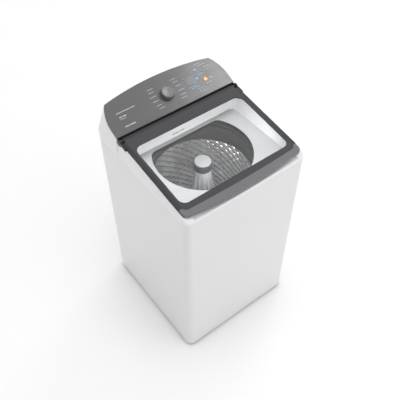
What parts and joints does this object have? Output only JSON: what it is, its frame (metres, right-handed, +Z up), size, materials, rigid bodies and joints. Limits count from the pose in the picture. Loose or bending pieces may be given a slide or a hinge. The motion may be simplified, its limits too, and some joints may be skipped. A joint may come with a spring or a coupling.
{
  "type": "top load washing machine",
  "caption": "Top load washing machine: white cabinet, sloping glass lid, grey rear console with knob and buttons, hanging tub with basket, agitator and belt drive.",
  "frame": {"origin": "on the floor, under the middle of the cabinet", "axes": "+X to the right as one faces the front, -Y out of the front, +Z up"},
  "size_m": [0.58, 0.606, 1.0711],
  "materials": {
    "white_enamel": "smooth gloss enamel",
    "zinc_steel": "galvanised, dull",
    "frame_plastic": "matte moulded",
    "white_plastic": "satin moulded",
    "acetal": "smooth",
    "panel_grey": "glossy grey film over plastic",
    "display_lens": "clear dark lens",
    "light_pipe": "clear pale blue",
    "circuit_board": "green solder mask",
    "black_plastic": "matte moulded",
    "valve_plastic": "smooth",
    "black_rubber": "matte",
    "spring_steel": "drawn wire, oiled",
    "pump_plastic": "smooth",
    "tub_plastic": "moulded polypropylene",
    "ring_plastic": "smooth dark grey",
    "cast_alloy": "die cast",
    "bearing_steel": "ground and polished",
    "motor_paint": "baked enamel",
    "copper_winding": "varnished copper wire",
    "capacitor_can": "drawn can",
    "machined_steel": "turned",
    "stainless": "polished stainless steel",
    "balance_plastic": "smooth dark grey",
    "agitator_plastic": "satin moulded pale grey",
    "lid_plastic": "satin dark grey",
    "lid_glass": "clear tempered glass",
    "border_print": "dark printed enamel",
    "handle_plastic": "satin grey",
    "knob_plastic": "satin grey",
    "start_orange": "glossy orange",
    "option_blue": "glossy blue"
  },
  "bodies": {
    "cabinet": {"cabinet": "white_enamel", "rear_panel": "zinc_steel", "rear_panel_screws": "zinc_steel", "base_frame": "frame_plastic", "top_cover": "white_plastic", "tub_cover": "white_plastic", "hinge_blocks": "black_plastic", "lid_lock": "acetal", "console_housing": "white_plastic", "console_fascia": "panel_grey", "display_window": "display_lens", "indicator_lights": "light_pipe", "control_board": "circuit_board", "panel_switches": "black_plastic", "inlet_valves": "valve_plastic", "water_spout": "white_plastic", "fill_hose": "black_rubber", "cord_gland": "black_plastic", "rod_brackets": "zinc_steel", "suspension_rods": "zinc_steel", "suspension_springs": "spring_steel", "drain_pump": "pump_plastic", "drain_outlet": "pump_plastic", "drain_bellows": "black_rubber"},
    "foot_front_left": {"foot_front_left": "black_rubber"},
    "foot_front_right": {"foot_front_right": "black_rubber"},
    "foot_rear_left": {"foot_rear_left": "black_rubber"},
    "foot_rear_right": {"foot_rear_right": "black_rubber"},
    "tub": {"outer_tub": "tub_plastic", "tub_ring": "ring_plastic", "clutch_housing": "cast_alloy", "tub_bearings": "bearing_steel", "shaft_seal": "black_rubber", "drive_plate": "zinc_steel", "motor_housing": "motor_paint", "motor_stator": "copper_winding", "run_capacitor": "capacitor_can", "drive_belt": "black_rubber"},
    "motor": {"motor_rotor": "machined_steel", "motor_pulley": "cast_alloy"},
    "basket": {"basket": "stainless", "basket_base": "cast_alloy", "balance_ring": "balance_plastic", "spin_tube": "machined_steel"},
    "agitator": {"agitator_base": "agitator_plastic", "agitator_column": "agitator_plastic", "column_ring": "ring_plastic", "agitator_bolt": "bearing_steel", "drive_shaft": "machined_steel", "drive_pulley": "cast_alloy"},
    "agitator_cap": {"dispenser_cap": "white_plastic"},
    "lid": {"lid_frame": "lid_plastic", "lid_glass": "lid_glass", "glass_border": "border_print", "lid_handle": "handle_plastic", "hinge_ears": "black_plastic"},
    "knob": {"programme_knob": "knob_plastic"},
    "start_button": {"start_button": "start_orange"},
    "option_button_1": {"option_button_1": "option_blue"},
    "option_button_2": {"option_button_2": "option_blue"}
  },
  "joints": [
    {"name": "tub_bounce", "type": "slide", "parent": "cabinet", "child": "tub", "axis": [0, 0, -1], "range_m": [0, 0.015], "stiffness_N_per_m": 9000, "springref_m": -0.0378, "deforming": ["suspension_springs", "drain_bellows"]},
    {"name": "basket_spin", "type": "hinge", "parent": "tub", "child": "basket", "pos_m": [0, -0.02, 0.35], "axis": [0, 0, 1], "continuous": true},
    {"name": "agitator_spin", "type": "hinge", "parent": "tub", "child": "agitator", "pos_m": [0, -0.02, 0.3], "axis": [0, 0, 1], "continuous": true},
    {"name": "motor_spin", "type": "hinge", "parent": "tub", "child": "motor", "pos_m": [0.172, -0.02, 0.21], "axis": [0, 0, 1], "continuous": true},
    {"name": "cap_lift", "type": "slide", "parent": "agitator", "child": "agitator_cap", "axis": [0, 0, 1], "range_m": [0, 0.05]},
    {"name": "lid_hinge", "type": "hinge", "parent": "cabinet", "child": "lid", "pos_m": [0, 0.12643, 0.98788], "axis": [-1, 0, 0], "range_deg": [0, 103]},
    {"name": "knob_turn", "type": "hinge", "parent": "cabinet", "child": "knob", "pos_m": [0, 0.21203, 1.03322], "axis": [0, -0.4131, 0.9107], "continuous": true},
    {"name": "start_press", "type": "slide", "parent": "cabinet", "child": "start_button", "axis": [0, 0.4131, -0.9107], "range_m": [0, 0.0015], "stiffness_N_per_m": 400, "springref_m": -0.0015},
    {"name": "option_1_press", "type": "slide", "parent": "cabinet", "child": "option_button_1", "axis": [0, 0.4131, -0.9107], "range_m": [0, 0.0015], "stiffness_N_per_m": 400, "springref_m": -0.0015},
    {"name": "option_2_press", "type": "slide", "parent": "cabinet", "child": "option_button_2", "axis": [0, 0.4131, -0.9107], "range_m": [0, 0.0015], "stiffness_N_per_m": 400, "springref_m": -0.0015},
    {"name": "foot_front_left_turn", "type": "hinge", "parent": "cabinet", "child": "foot_front_left", "pos_m": [-0.24, -0.252, 0.01], "axis": [0, 0, 1], "continuous": true},
    {"name": "foot_rear_left_turn", "type": "hinge", "parent": "cabinet", "child": "foot_rear_left", "pos_m": [-0.24, 0.252, 0.01], "axis": [0, 0, 1], "continuous": true},
    {"name": "foot_front_right_turn", "type": "hinge", "parent": "cabinet", "child": "foot_front_right", "pos_m": [0.24, -0.252, 0.01], "axis": [0, 0, 1], "continuous": true},
    {"name": "foot_rear_right_turn", "type": "hinge", "parent": "cabinet", "child": "foot_rear_right", "pos_m": [0.24, 0.252, 0.01], "axis": [0, 0, 1], "continuous": true}
  ],
  "couplings": [
    {"joint": "motor_spin", "follows": "agitator_spin", "ratio": 5.8333}
  ]
}
